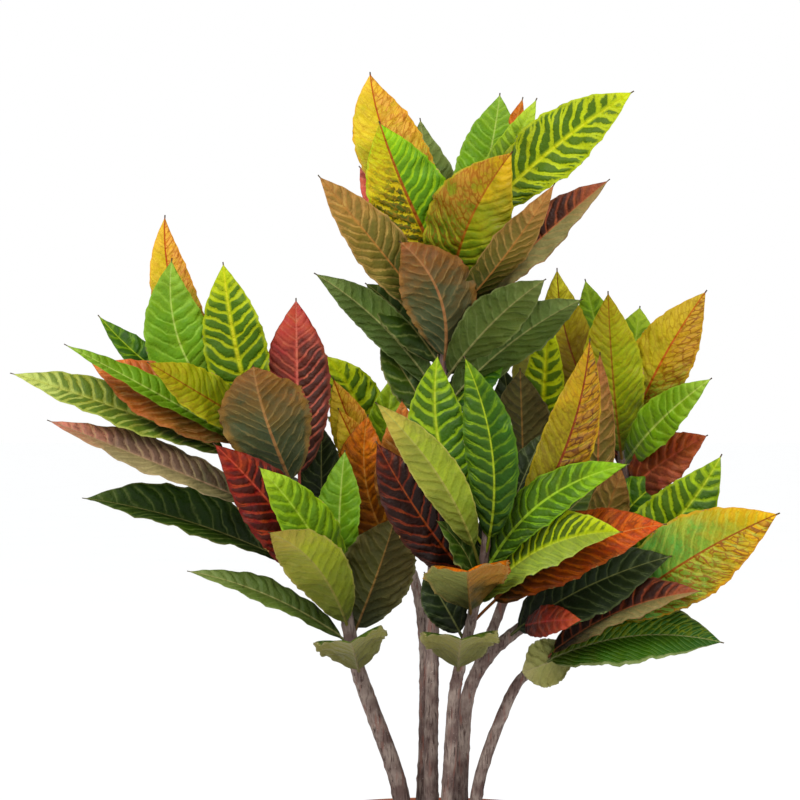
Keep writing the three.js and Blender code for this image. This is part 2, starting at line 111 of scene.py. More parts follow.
# Each leafy stem: its points from the soil up, as across, down and depth, its radius at the
# soil and at the top, and its leaves. The columns of the leaves are: the height where the leaf
# leaves the stem, as mm down the sheet; its tip across, down and depth; the blade's width, its
# turn about the midrib and its fold; how far the midrib arches and sways; and the look of the
# side that faces front.
STEMS = {
    "stem_left": {"radii": (9, 4), "path": (
        (406, 832, 6), (396, 775, 2), (366, 693, -4), (354, 655, -8),
        (345, 610, -8), (328, 555, -4), (300, 500, 2), (268, 450, 8), (246, 410, 12)), "leaves": """
    412 165 215   50 47   10 14  12 -26 gold
    432 172 258    8 72    5 14   8 -32 leafgreen
    440 223 262    0 66   -5 16  12  -4 rungs
    425  98 315   40 40   30 25   8 -18 green
    462  64 344  -62 34   50 20   4  -2 leafgreen
    446  87 358  -18 72   35 18   6  -9 apricot
    484  10 373  -20 60   45 20  10   0 limepale
    530  47 420  -35 56   50 22   8  -7 dusty
    428 147 362  -84 52   30 15   8  -4 mustard
    492 253 365 -115 92  178 12  14   6 toffee
    500 296 298   35 70    0 16  12   0 red
    590  82 498   10 74   42 38  10  10 dark
    645 187 571  -20 40   52 20   8   7 grey
    628 213 443  -45 68   10 14  12  10 russet
    612 258 466  -70 60   30 12  12   6 lime
    634 268 532 -135 60  172 12  14 -13 pale
    640 396 515  -45 76 -170 12  10  -4 olive
    676 350 643 -130 76  182 18  12   0 sage
    545 322 425   62 46  -15 14   4   0 deep
    590 345 450   12 48  -20 14   8   0 leafgreen
    430 214 318  140 60   35 12  26   0 lime
    445 166 372  120 54   70 14  24   0 dark
    455 286 352  140 62  -25 12  28   0 gold
    470 205 428  130 58   60 14  22   0 green
    480 268 398  165 60   10 12  30   0 red
    560 262 478  130 62   45 12  24   0 dark
    570 282 484  150 56   35 12  20   0 lime
    610 290 530   95 58   50 14  16   0 olive
    """},
    "stem_centre": {"radii": (7.5, 4), "path": (
        (432, 832, 0), (431, 760, 0), (432, 690, 4), (433, 600, 12), (436, 500, 18),
        (441, 400, 22), (448, 320, 20), (458, 265, 14), (466, 225, 10)), "leaves": """
    246 370  72   45 72   10 10  14 -22 gold
    285 379 121  -10 84    5 12  12  -7 goldgreen
    255 500  93   75 64  -10 14   4   6 leafgreen
    255 537  98   35 42  -15 14   4   2 lime
    262 523  97   62 48  -30 14  -4   4 orange
    236 634  91  -35 70  -20 14   4  -8 limevein
    298 513 151  -60 88  -12 14  14 -10 ochre
    320 555 183  -88 44 -150 12 -14   2 tan
    332 610 179  -50 62  -38 22  10   3 maroon
    335 318 175  -40 58   20 16  14  -4 tan
    275 359 166   40 58   15 16  10  -6 salmon
    368 399 241  -80 76  178 12   4 -20 toffee
    400 314 273  -30 44  165 22  10  -9 grey
    372 365 283   10 50   20 14   8   4 dark
    384 546 279  -70 56 -160 14  10   4 grey
    412 583 299  -50 66 -150 20  20   0 grey
    262 420 118  120 62 -160 12  14   0 green
    285 468 170  150 60  -20 12  26   0 gold
    290 388 186  185 62   40 12  26   0 ochre
    305 524 176  135 60  -50 12  24   0 lime
    325 440 200  175 62   10 12  32   0 red
    352 380 272  135 58   50 14  22   0 dark
    360 505 252  150 60  -30 14  26   0 olive
    385 450 290  180 62  -15 14  30   0 green
    436 380 338   45 50   25 14   6   0 dark
    426 506 352   38 46  -30 14   6   0 green
    """},
    "stem_front": {"radii": (7, 4), "path": (
        (446, 832, -22), (450, 760, -28), (454, 700, -34), (459, 670, -40),
        (469, 630, -50), (478, 590, -60), (486, 540, -72), (488, 490, -80)), "leaves": """
    545 438 354  -60 64    0 12  14 -20 ladder
    560 464 356  -95 54  -12 16  14  22 green
    570 375 402 -165 44  172 12  -8 -16 pale
    585 376 441  -70 62   10 14  12  -8 wine
    575 590 338  -70 54   -5 14  12  24 flame
    590 630 464 -120 48  -30 12  12 -24 shadowlime
    610 623 532 -130 70  -42 24  12 -20 twotone
    622 667 524 -100 72  -32 18  10 -18 orange
    616 468 572 -175 88  180 16  16   0 peach
    672 462 640 -150 80  182 16  12   0 sage
    600 436 520  -90 58   60 12  14   0 dark
    585 545 430    0 56  -20 14   4   0 deep
    600 596 486    0 56  -30 14   4   0 dark
    640 424 572  -50 44   10 14   8   0 deep
    """},
    "stem_right": {"radii": (7.5, 4), "path": (
        (460, 832, 4), (462, 760, 2), (468, 695, -4), (488, 657, -8),
        (515, 632, -6), (560, 600, 8), (600, 550, 26), (620, 500, 40),
        (622, 455, 52), (616, 415, 60)), "leaves": """
    450 557 268  110 54    5 14  10 -17 bronze
    440 585 279  120 48    0 14  10   0 lime
    440 640 306  100 60    0 14  10   0 lime
    465 608 291    5 64   -5 12  12  -2 mustard
    455 707 290   20 66  -12 14  12  -6 amber
    470 712 378  -70 46  -30 14  12  -2 leafgreen
    500 708 435  -20 56  -30 14  10   0 crimson
    585 722 454  -40 70  -10 14  12  21 ladder
    560 600 352  -25 34  170 12   8   0 tan
    575 622 468  -20 44  170 12   8   0 tan
    628 582 620  -92 34  -30 14   8   0 crimson
    640 672 556  -60 72  -30 12  12  -6 deep
    448 668 345  170 58  -45 14  26   0 gold
    470 590 360  205 60   25 12  28   0 ochre
    475 664 404  185 60  -35 14  24   0 lime
    490 612 400  210 60   12 12  32   0 red
    510 672 470  160 60  -60 14  22   0 dark
    540 640 500  180 60  -45 12  26   0 limevein
    570 668 545  170 58  -85 14  22   0 orange
    600 600 560  165 60  -50 14  26   0 deep
    545 664 478   10 56  -30 14  12   0 green
    """},
    "stem_low": {"radii": (6.5, 3.5), "path": (
        (472, 832, -14), (482, 770, -18), (512, 693, -20), (530, 672, -20),
        (556, 654, -16), (590, 640, -10)), "leaves": """
    641 780 513  -85 86  -18 12  12  -9 sunset
    660 702 591  -90 60  -52 26  10 -10 maroon
    668 724 643  -60 72  -36 16  12 -15 ribbed
    648 694 603  -25 50  -60 20   8  -6 ochre
    641 521 672  -44 50  176 14   6   4 sage
    644 672 560   60 58  150 14  12   0 green
    """},
    "stem_back_left": {"radii": (6.5, 3.5), "path": (
        (420, 832, 30), (424, 760, 32), (425, 690, 36), (424, 640, 40),
        (416, 585, 50), (400, 550, 60), (385, 510, 80), (372, 470, 100),
        (366, 440, 110)), "leaves": """
    575 368 414   30 76  -10 14   8 -20 orange
    540 402 399   -5 56   15 12   8   0 apricot
    500 392 376   80 44    0 14  10   0 lime
    470 326 355   90 56    5 14  10  10 limevein
    510 333 378   60 46   -5 16   8   0 gold
    470 352 372  215 58 -160 12  14   0 lime
    480 396 398  240 58  -30 12  28   0 ochre
    490 330 424  225 58   50 14  24   0 dark
    505 424 430  235 60  -35 12  28   0 gold
    520 338 408   40 44    5 14   8   0 gold
    """},
    "stem_back_right": {"radii": (6.5, 3.5), "path": (
        (446, 832, 34), (452, 760, 46), (470, 690, 60), (500, 610, 78),
        (525, 540, 92), (538, 490, 100), (544, 440, 104)), "leaves": """
    495 549 312   15 44   -5 14   8   0 limevein
    545 520 368   10 70  175 12  10   0 olive
    455 520 330  215 60  160 12  14   0 gold
    490 584 400  225 60  -35 12  28   0 limevein
    500 498 410  250 60   30 12  30   0 red
    505 560 440  255 60  -30 12  28   0 lime
    530 488 470  250 58   40 14  26   0 ochre
    520 503 366   64 58   -5 14  10   0 deep
    590 484 556  205 56   45 14  22   0 green
    """},
}
# The other side of each look. The looks in UNDERSIDES are drawn for the lower side of a leaf.
UNDERSIDES = {
    "tan": "red", "grey": "dark", "sage": "dark", "pale": "limevein", "olive": "dark",
    "peach": "orange", "toffee": "red",
}
BENEATH = {
    **dict.fromkeys((
        "gold", "amber", "goldgreen", "lime", "limepale", "pale"), "pale"),
    **dict.fromkeys((
        "ochre", "flame", "sunset", "peach", "apricot", "mustard", "bronze", "red", "russet",
        "toffee", "maroon", "wine", "orange", "crimson", "salmon", "tan"), "tan"),
}
USUAL_BENEATH = "grey"


@dataclass
class Look:
    """The colours of one side of a leaf, as sRGB, and how its markings are spread.

    Left and right are as seen from above with the tip pointing away. Strengths go from 0 to 1,
    and places along the blade from 0 at the stalk to 1 at the tip. Block, net and blush are each
    a colour with its strength on the left and on the right.
    """
    left: str
    right: str
    base: str
    tip: str
    vein: str
    midrib: str
    edge: str
    # The blocks between the side veins, the net of fine veins, and the soft patches
    block: tuple = ("#000000", 0.0, 0.0)
    net: tuple = ("#000000", 0.0, 0.0)
    blush: tuple = ("#000000", 0.0, 0.0)
    tip_sides: tuple = (1.0, 1.0)
    vein_sides: tuple = (1.0, 1.0)
    # Where along the blade the base's colour, the blocks and the side veins end, and where the
    # tip's colour starts
    base_end: float = 0.5
    block_end: float = 1.05
    vein_end: float = 2.0
    tip_start: float = 0.6
    # How much the blocks keep to patches, and how ragged their borders are
    patchy: float = 0.3
    ragged: float = 0.3
    # Widths of a side vein as a share of the spacing, of half the midrib in mm, and of the edge
    # as a share of half the blade
    vein_width: float = 0.1
    midrib_width: float = 1.2
    edge_width: float = 0.05
    vein_strength: float = 0.6
    # The side veins: mm from one to the next, how far they climb, and how widely they fork
    spacing: float = 12.0
    slope: float = 0.6
    fork: float = 0.14


# Each look starts with its colours: left, right, base, tip, vein, midrib and edge
LOOKS = {
    "gold": Look("#cab83c", "#caa440", "#6c8c22", "#d4b44a", "#b8943c", "#a04c14", "#c08c38",
        block=("#7c8c24", 0.3, 0.35), net=("#98501e", 0.25, 0.75), blush=("#c88a4c", 0.1, 0.65),
        tip_sides=(1.0, 0.4), base_end=0.85, block_end=0.5, patchy=1.2, ragged=1.2,
        vein_width=0.16, vein_strength=0.3, midrib_width=1.5),
    "amber": Look("#aa9830", "#a4802c", "#6c8c24", "#b89a3c", "#a08438", "#a04c14", "#b08830",
        block=("#5c6c1c", 0.5, 0.5), net=("#74400f", 0.4, 1.0), blush=("#a87434", 0.1, 0.6),
        base_end=0.7, block_end=0.6, patchy=1.2, ragged=1.2, vein_width=0.16, vein_strength=0.3,
        midrib_width=1.5),
    "goldgreen": Look(
        "#b89f24", "#5c8410", "#665e10", "#7fa422", "#98b02c", "#8c440f", "#88a824",
        block=("#243c08", 0.9, 0.25), net=("#965a18", 0.5, 0.0), tip_sides=(0.5, 1.0),
        vein_sides=(0.15, 1.0), base_end=0.2, block_end=0.8, patchy=1.1, ragged=1.6,
        vein_width=0.15, vein_strength=0.8, midrib_width=2.3, spacing=10.0),
    "ochre": Look("#7c7822", "#7c7a12", "#4a7214", "#b89a2c", "#a4a838", "#8c560f", "#98962a",
        block=("#3c5c10", 0.5, 0.3), net=("#80461a", 0.7, 0.15), blush=("#a47838", 0.8, 0.1),
        base_end=0.95, block_end=0.55, vein_end=0.6, patchy=0.8, vein_width=0.13,
        vein_strength=0.8, midrib_width=1.6, spacing=11.0),
    "flame": Look("#847a14", "#96701a", "#4a540e", "#a8841c", "#8c8420", "#6c300c", "#98841c",
        block=("#5a3a0c", 0.2, 0.5), net=("#46200a", 0.35, 1.0), blush=("#8c5818", 0.2, 0.5),
        block_end=0.95, patchy=1.2, ragged=1.3, vein_width=0.12, vein_strength=0.4,
        midrib_width=1.7),
    "sunset": Look("#84942c", "#a8841c", "#4a9040", "#c8a02c", "#98a444", "#80440e", "#b07c24",
        block=("#4a6a14", 0.25, 0.6), net=("#74400c", 0.25, 1.0), blush=("#b0742a", 0.3, 0.5),
        base_end=1.2, tip_start=0.5, block_end=0.8, patchy=1.6, ragged=1.4, vein_width=0.12,
        vein_strength=0.5, midrib_width=1.5),
    "peach": Look("#a0703a", "#7c7c46", "#4c4c24", "#a08050", "#988450", "#8c6c3c", "#a08454",
        tip_sides=(1.0, 0.5), base_end=0.35, vein_width=0.05, vein_strength=0.3),
    "apricot": Look("#b06c38", "#a05c2c", "#6c6a34", "#cc7c48", "#b8905c", "#b07444", "#98643c",
        block=("#6c4c1c", 0.35, 0.5), net=("#80401e", 0.5, 0.5), base_end=0.75, patchy=0.8),
    "mustard": Look("#84801c", "#8c9420", "#5c6c1c", "#94801c", "#9ca030", "#80500f", "#9c9420",
        block=("#4c6414", 0.4, 0.35), net=("#784c10", 0.4, 0.3), blush=("#90701c", 0.3, 0.2),
        block_end=0.7, patchy=0.8, vein_width=0.08, vein_strength=0.5, spacing=10.0),
    "bronze": Look("#7c6a10", "#84700f", "#74680f", "#e4e450", "#8c801c", "#744010", "#8c841c",
        net=("#643a0c", 0.4, 0.4), blush=("#80581a", 0.4, 0.4), tip_start=0.4, vein_strength=0.4),
    "limevein": Look("#8a9a1c", "#8c9c1c", "#686c18", "#aeb82a", "#a4b02a", "#acb030", "#a0ac28",
        block=("#3c5a08", 0.95, 0.92), patchy=0.6, ragged=0.45, vein_width=0.16,
        vein_strength=0.85, midrib_width=2.0, spacing=14.0, slope=0.5, fork=0.2),
    "rungs": Look("#8a9a1c", "#8c9c1c", "#586c14", "#98a824", "#a0ac2c", "#acb034", "#88981c",
        block=("#365a0a", 0.95, 0.95), ragged=0.35, vein_strength=0.8, midrib_width=2.3,
        spacing=11.5, slope=0.35, fork=0.04),
    "ladder": Look("#788c20", "#5c780f", "#3f5008", "#78901c", "#8ca42e", "#98a434", "#84982a",
        block=("#2a4c06", 0.85, 0.88), block_end=1.1, patchy=0.4, ragged=0.35, vein_width=0.11,
        vein_strength=0.8, midrib_width=1.8, slope=0.35, fork=0.06),
    "twotone": Look("#8c9c1c", "#78883a", "#3c4c0c", "#a8b424", "#a0ac2c", "#94a034", "#8c9840",
        block=("#284006", 0.9, 0.1), tip_sides=(1.0, 0.3), vein_sides=(1.0, 0.3), block_end=1.0,
        ragged=0.4, vein_width=0.11, midrib_width=1.4, spacing=9.0),
    "lime": Look("#6c8c18", "#6f8e1a", "#445614", "#98b03c", "#8ca838", "#94ac40", "#8ca83c",
        block=("#44640c", 0.6, 0.65), patchy=0.6, midrib_width=1.6, spacing=13.0),
    "limepale": Look("#848c34", "#848c34", "#4c4a1c", "#b4bc68", "#b0b868", "#a0a450", "#a0a458",
        block=("#4c6422", 0.8, 0.8), patchy=0.6, vein_strength=0.65, slope=0.3, fork=0.08),
    "shadowlime": Look(
        "#4c640c", "#507010", "#1c3006", "#789820", "#7c9c2c", "#86a034", "#749424",
        block=("#304c08", 0.6, 0.6), base_end=0.7, patchy=0.5, midrib_width=1.6),
    "leafgreen": Look(
        "#688c26", "#648620", "#4c6418", "#7c9a38", "#8cac4a", "#94a850", "#789434",
        block=("#4c7218", 0.45, 0.45), patchy=0.4, vein_width=0.07, vein_strength=0.5,
        midrib_width=1.4, spacing=11.0, slope=0.3, fork=0.06),
    "green": Look("#3c5c06", "#2c5204", "#183602", "#587810", "#7c942c", "#8c9c30", "#446408",
        block=("#1c4002", 0.6, 0.6), vein_sides=(1.0, 0.55), vein_strength=0.7, slope=0.4),
    "dark": Look("#34460f", "#304214", "#2a320f", "#44541e", "#6c7440", "#747040", "#747044",
        block=("#1a2e06", 0.6, 0.6), vein_width=0.06, midrib_width=0.9, spacing=16.0, fork=0.04),
    "ribbed": Look("#365a1a", "#3c5c12", "#4c5c18", "#2c4c18", "#6c8848", "#7c8050", "#8c9060",
        block=("#22420a", 0.5, 0.5), net=("#8c8c1c", 0.4, 0.0), vein_width=0.05,
        midrib_width=0.9, edge_width=0.08, spacing=8.0, slope=1.1, fork=0.0),
    "deep": Look("#1c280c", "#202a0e", "#1e230c", "#303818", "#5c6440", "#66683c", "#4c5230",
        block=("#121c08", 0.6, 0.6), vein_width=0.06, vein_strength=0.5, midrib_width=0.9,
        spacing=13.0),
    "red": Look("#94483a", "#5c3022", "#332410", "#a8503e", "#a85c48", "#b06450", "#6c3824",
        block=("#32170c", 0.55, 0.85), tip_start=0.55, block_end=0.85, patchy=0.6, ragged=0.5,
        vein_width=0.12, vein_strength=0.8, midrib_width=1.9, spacing=11.0, slope=0.5, fork=0.06),
    "crimson": Look("#8c3c24", "#8c4430", "#3c2018", "#a04c34", "#a05844", "#a04c3c", "#6c2c20",
        block=("#3c100c", 0.5, 0.4), patchy=0.9, ragged=0.8, vein_width=0.08, vein_strength=0.5),
    "russet": Look("#5a2214", "#481c0e", "#2a180a", "#74301c", "#94442a", "#9c4c34", "#5c2818",
        block=("#240e06", 0.75, 0.8), patchy=0.7, ragged=0.6, vein_width=0.12,
        vein_strength=0.75, midrib_width=1.6),
    "maroon": Look("#40200f", "#7a7448", "#1a1207", "#804a30", "#8a4a30", "#8c5838", "#6c4830",
        block=("#1e0c06", 0.8, 0.15), tip_sides=(1.0, 0.3), vein_sides=(1.0, 0.3), patchy=0.6,
        vein_width=0.09, vein_strength=0.7),
    "wine": Look("#2c0e07", "#180804", "#120a05", "#4c1c0e", "#742a16", "#74341c", "#3c180c",
        block=("#140502", 0.75, 0.8), patchy=0.6, vein_width=0.09, vein_strength=0.7,
        spacing=13.0),
    "dusty": Look("#8c8058", "#745c48", "#4c5030", "#b0705e", "#a09068", "#8c7458", "#a08c6c",
        block=("#3f2a20", 0.15, 0.6), patchy=0.8, ragged=0.8, vein_width=0.07, vein_strength=0.4),
    "orange": Look("#a8581c", "#9c4e18", "#36340a", "#c0602a", "#b46c38", "#b47440", "#80441e",
        block=("#54280c", 0.5, 0.5), net=("#54260c", 0.5, 0.5), patchy=0.7, ragged=0.8,
        vein_width=0.12),
    "salmon": Look("#d0685a", "#c86456", "#7a4430", "#6a3034", "#d4806c", "#c8806a", "#8c4a3e",
        tip_start=0.85, vein_width=0.16, vein_strength=0.4),
    "tan": Look("#846a34", "#6c5c2c", "#3a4618", "#b0784a", "#a88650", "#98683a", "#a07c50",
        block=("#54501c", 0.5, 0.5), blush=("#98603a", 0.4, 0.4), base_end=0.9, patchy=0.8,
        vein_strength=0.55, slope=0.75),
    "toffee": Look("#705a34", "#5a5a36", "#46563a", "#a06c42", "#988454", "#a87c50", "#98703c",
        block=("#463e1f", 0.35, 0.25), blush=("#98602e", 0.55, 0.3), base_end=1.0,
        tip_start=0.45, patchy=0.8, vein_width=0.07, vein_strength=0.55, midrib_width=1.8,
        edge_width=0.12),
    "grey": Look("#56662c", "#50602c", "#40501c", "#6c7a42", "#768454", "#848450", "#768050",
        block=("#465a26", 0.3, 0.3), patchy=0.8, vein_width=0.05, vein_strength=0.35),
    "sage": Look("#84824c", "#807c48", "#747444", "#948a60", "#8c8860", "#888058", "#8c8660",
        vein_width=0.05, vein_strength=0.3),
    "pale": Look("#929e34", "#8a8c38", "#64702e", "#a89448", "#98985a", "#949048", "#a09454",
        block=("#6a7a30", 0.25, 0.25), blush=("#8c7c3c", 0.3, 0.3), patchy=0.8, vein_width=0.05,
        vein_strength=0.2),
    "olive": Look("#484020", "#403e1c", "#363a18", "#504a28", "#6c663c", "#7c5c34", "#64603c",
        block=("#323414", 0.3, 0.3), blush=("#604828", 0.4, 0.3), patchy=0.8, vein_width=0.05,
        vein_strength=0.35, spacing=11.0),
}


# ---- Shader graphs ----

class Wire:
    """An output in a shader graph. Arithmetic on wires adds Math nodes to the graph."""

    def __init__(self, tree, socket):
        self.tree = tree
        self.socket = socket

    def math(self, operation, *others):
        node = self.tree.nodes.new("ShaderNodeMath")
        node.operation = operation
        for socket, value in zip(node.inputs, (self, *others)):
            plug(self.tree, socket, value)
        return Wire(self.tree, node.outputs[0])

    def __add__(self, other):
        return self.math("ADD", other)

    def __sub__(self, other):
        return self.math("SUBTRACT", other)

    def __mul__(self, other):
        return self.math("MULTIPLY", other)

    def __abs__(self):
        return self.math("ABSOLUTE")

    def fade(self, start, end):
        """0 before start, 1 after end, and smooth between them."""
        node = self.tree.nodes.new("ShaderNodeMapRange")
        node.interpolation_type = "SMOOTHSTEP"
        plug(self.tree, node.inputs["Value"], self)
        plug(self.tree, node.inputs["From Min"], start)
        plug(self.tree, node.inputs["From Max"], end)
        return Wire(self.tree, node.outputs["Result"])


def plug(tree, socket, value):
    if isinstance(value, Wire):
        tree.links.new(value.socket, socket)
    else:
        socket.default_value = value


def paint(colour):
    """An sRGB colour such as #8a5a16 as the linear RGBA that a shader takes."""
    shares = [int(colour[at:at + 2], 16) / 255 for at in (1, 3, 5)]
    linear = [s / 12.92 if s <= 0.04045 else ((s + 0.055) / 1.055) ** 2.4 for s in shares]
    return (*linear, 1.0)


class Graph:
    """A new material's node tree, with short calls for the nodes that this scene uses."""

    def __init__(self, name):
        self.material = bpy.data.materials.new(name)
        self.material.use_nodes = True
        self.tree = self.material.node_tree
        self.shader = self.tree.nodes["Principled BSDF"]

    def node(self, kind, inputs=None, **settings):
        node = self.tree.nodes.new("ShaderNode" + kind)
        for name, value in settings.items():
            setattr(node, name, value)
        for name, value in (inputs or {}).items():
            plug(self.tree, node.inputs[name], value)
        return node

    def wire(self, kind, output, inputs=None, **settings):
        """One output of a new node."""
        return Wire(self.tree, self.node(kind, inputs, **settings).outputs[output])

    def parts(self, vector):
        """The X, the Y and the Z of a vector."""
        node = self.node("SeparateXYZ", {"Vector": vector})
        return [Wire(self.tree, output) for output in node.outputs]

    def attribute(self, name):
        """The three numbers of a vector attribute of the mesh."""
        return self.parts(self.wire("Attribute", "Vector", attribute_name=name))

    def place(self):
        return self.wire("TexCoord", "Object")

    def vector(self, x, y, z):
        return self.wire("CombineXYZ", "Vector", {"X": x, "Y": y, "Z": z})

    def noise(self, vector, scale, detail=2.0, roughness=0.5):
        return self.wire("TexNoise", 0, {
            "Vector": vector, "Scale": scale, "Detail": detail, "Roughness": roughness})

    def cells(self, vector, scale):
        """The distance to the nearest border between irregular cells."""
        return self.wire("TexVoronoi", "Distance", {"Vector": vector, "Scale": scale},
                         feature="DISTANCE_TO_EDGE")

    def blend(self, share, under, over):
        """A colour between two. Each is a wire or an sRGB colour."""
        under, over = (c if isinstance(c, Wire) else paint(c) for c in (under, over))
        return self.wire("Mix", 2, {0: share, 6: under, 7: over}, data_type="RGBA")

    def bump(self, height, distance):
        return self.wire("Bump", "Normal", {
            "Height": height, "Distance": distance, "Strength": 1.0})

    def finish(self, colour, roughness, normal, specular):
        plug(self.tree, self.shader.inputs["Base Color"], colour)
        plug(self.tree, self.shader.inputs["Roughness"], roughness)
        plug(self.tree, self.shader.inputs["Normal"], normal)
        self.shader.inputs["Specular IOR Level"].default_value = specular
        return self.material


# ---- Leaf materials ----

# The scales of the noises, per mm
ROUGH_SCALE = 0.24
PATCH_SCALE = 0.08
CLOUD_SCALE = 0.03
GRAIN_SCALE = 0.5
SHEEN_SCALE = 0.12
NET_SCALE = 0.17
SEEDS = 700.0
# How far the noises bend the side veins, as a share of their spacing
WARP = 1.6
KINK = 0.4
JITTER = 0.2
# How much steeper the side veins climb at the edge
UPTURN = 0.35
# How far the side veins of one leaf may lie from another's, in spacings
START_SHIFT = 7.0
# Smooth steps, from where they start to where they end
SIDE_STEP = (-1.0, 1.0)
FORK_STEP = (0.35, 1.0)
BLUSH_STEP = (-0.06, 0.14)
BLUSH_ALONG = (0.2, 0.75)
BLOCK_STEP = (0.08, 0.2)
BLOCK_RIM = (0.99, 0.84)
TIP_CLEAR = (0.6, 1.0)
NET_STEP = (0.14, 0.03)
VEIN_STEP = (0.06, -0.05)
VEIN_RIM = (1.02, 0.7)
MIDRIB_STEP = (0.5, -0.3)
NEEDLE_STEP = (0.972, 0.99)
# The painted shade along the blade, darkest at the stalk
PAINTED_SHADE_STEP = (-0.05, 0.5)
QUILT_STEP = (0.0, 0.4)
QUILT_RIM = (1.0, 0.85)
# How far from the midrib the blocks reach their full strength, in mm
MIDRIB_CLEAR = 4.0
# How long the blocks and the side veins take to end, as a share of the blade's length
BLOCK_FADE = 0.3
VEIN_FADE = 0.35
# How far the noises shift the bounds of a leaf's zones, as shares for the cloud and the patch
BASE_SHIFT = (0.6, 0.4)
TIP_SHIFT = (0.4, 0.3)
BLOCK_SHIFT = (0.5, 0.5)
VEIN_SHIFT = (0.4, 0.0)
# Where the base's colour is at its full strength
BASE_FULL = -0.05
# The strength of the net, the side veins and the edge: its spread and its middle
NET_MOTTLE = (2.0, 0.75)
VEIN_MOTTLE = (2.2, 0.8)
EDGE_MOTTLE = (1.5, 0.55)
# How much the blush keeps to the edge, and the blocks keep off the tip
BLUSH_OUTWARD = 0.12
BLOCKS_OFF_TIP = 0.15
# The net's cells are this wide for their length, and bent this many mm
NET_SQUEEZE = 0.75
NET_BEND = 5.0
# How uneven the width of a side vein and of the midrib are, and how much each one thins
VEIN_RAGGED = 0.14
VEIN_THINNING = -0.5
MIDRIB_RAGGED = 0.5
MIDRIB_THINNING = -0.7
# Where the blocks start, in half midribs, where the edge starts, in its own widths, and how
# ragged the edge is
BLOCK_INSET = 0.6
EDGE_INSET = 1.8
EDGE_RAGGED = 0.1
# The blade's brightness: at the stalk (painted shade), what it gains on the way out, and its
# mottling
PAINTED_SHADE_AT_STALK = 0.58
PAINTED_SHADE_LIFT = 0.44
SHADE_GRAIN = 0.45
SHADE_CLOUD = 0.5
# The hue's middle, its spread among leaves and its spread within one
HUE = 0.49
HUE_BY_LEAF = 0.02
HUE_BY_PATCH = 0.04
SATURATION = 1.07
# The relief between the side veins: its height in metres, and the shares of two noises in it
QUILT_HEIGHT = 0.0009
QUILT_ROUGH = 0.35
QUILT_SWELL = 3.0
LEAF_ROUGHNESS = 0.42
ROUGHNESS_SPREAD = 0.2
LEAF_SPECULAR = 0.16
NEEDLE = "#4a3a26"


class Blade:
    """The coordinates and the noises that all markings of one side of a leaf share."""

    def __init__(self, graph, look):
        self.graph = graph
        self.off, self.run, self.chance = graph.attribute("leaf_mm")
        edge, self.along, _ = graph.attribute("leaf_share")
        self.reach = abs(edge)
        self.seed = self.chance * SEEDS
        self.flat = graph.vector(self.off, self.run, self.seed)
        self.right = self.off.fade(*SIDE_STEP)
        self.rough = graph.noise(self.flat, ROUGH_SCALE, detail=4.0, roughness=0.65) - 0.5
        self.patch = graph.noise(self.flat, PATCH_SCALE, detail=3.0, roughness=0.6) - 0.5
        self.cloud = graph.noise(self.flat, CLOUD_SCALE, detail=2.0) - 0.5
        warp = self.cloud * WARP + self.patch * KINK + self.rough * JITTER
        aside = abs(self.off)
        self.lateral = self.run - aside * look.slope - aside * self.reach * UPTURN
        phase = self.lateral * (1 / look.spacing) + self.chance * START_SHIFT + warp
        from_vein = abs(phase.math("FRACT") - 0.5)
        fork = (self.reach + self.patch).fade(*FORK_STEP) * look.fork
        # 0 on a side vein, which forks towards the edge, and about 0.5 midway between two
        self.gap = abs(from_vein - fork)

    def by_side(self, left, right):
        return self.right * (right - left) + left

    def unevenly(self, cloud, patch):
        """The place along the blade, from 0 to 1, shifted by two of the noises."""
        return self.along + self.cloud * cloud + self.patch * patch

    def mottled(self, spread, middle):
        """A strength that differs from patch to patch."""
        return self.patch * spread + middle


def ground_colour(blade, look):
    """The colour between the markings: by side, from the base to the tip, with a blush."""
    graph = blade.graph
    colour = graph.blend(blade.right, look.left, look.right)
    near_base = blade.unevenly(*BASE_SHIFT).fade(look.base_end, BASE_FULL)
    colour = graph.blend(near_base, colour, look.base)
    near_tip = blade.unevenly(*TIP_SHIFT).fade(look.tip_start, 1.0)
    colour = graph.blend(near_tip * blade.by_side(*look.tip_sides), colour, look.tip)
    tint, *strengths = look.blush
    blush = (blade.patch + blade.reach * BLUSH_OUTWARD).fade(*BLUSH_STEP)
    blush = blush * blade.by_side(*strengths)
    return graph.blend(blush * blade.along.fade(*BLUSH_ALONG), colour, tint)


def with_blocks(blade, look, colour):
    """Adds the blocks between the side veins, which keep off the midrib and the edge."""
    tint, *strengths = look.block
    clear = blade.along.fade(*TIP_CLEAR) * BLOCKS_OFF_TIP
    block = blade.gap + blade.rough * look.ragged + blade.patch * look.patchy - clear
    inside = abs(blade.off).fade(look.midrib_width * BLOCK_INSET, MIDRIB_CLEAR)
    inside = blade.reach.fade(*BLOCK_RIM) * inside
    block = block.fade(*BLOCK_STEP) * inside * blade.by_side(*strengths)
    end = blade.unevenly(*BLOCK_SHIFT).fade(look.block_end, look.block_end - BLOCK_FADE)
    return blade.graph.blend(block * end, colour, tint)


def with_net(blade, look, colour):
    """Adds the net of fine veins."""
    graph = blade.graph
    tint, *strengths = look.net
    across = blade.off * NET_SQUEEZE + blade.rough * NET_BEND
    bent = graph.vector(across, blade.lateral, blade.seed)
    net = graph.cells(bent, NET_SCALE).fade(*NET_STEP) * blade.by_side(*strengths)
    return graph.blend(net * blade.mottled(*NET_MOTTLE), colour, tint)


